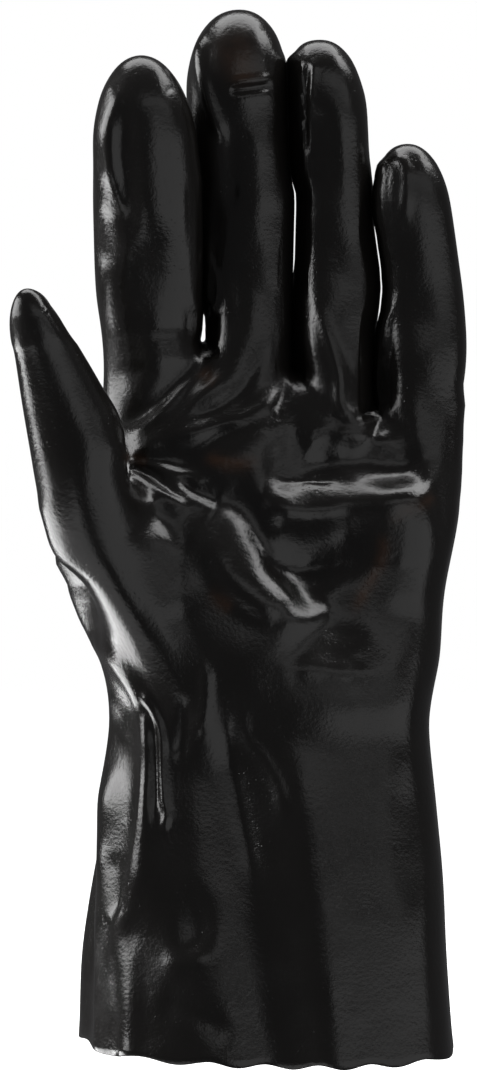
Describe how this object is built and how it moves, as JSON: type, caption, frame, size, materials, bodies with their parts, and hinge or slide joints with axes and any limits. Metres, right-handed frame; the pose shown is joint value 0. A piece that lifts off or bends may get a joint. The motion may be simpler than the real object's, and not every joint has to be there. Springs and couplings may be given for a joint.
{
  "type": "coated work glove",
  "caption": "Left-hand work glove in glossy coated fabric, shaped as worn, with a long flared cuff and an open wrist",
  "frame": {"origin": "centre of the cuff's opening, in the plane of its rim, where the wrist goes in", "axes": "+Z runs from the cuff to the fingertips, -Y faces out of the palm, -X is the thumb side"},
  "size_m": [0.1332, 0.0963, 0.3093],
  "materials": {
    "coated_fabric": "glossy, lightly pitted"
  },
  "bodies": {
    "root": {"glove_shell": "coated_fabric"}
  },
  "joints": []
}
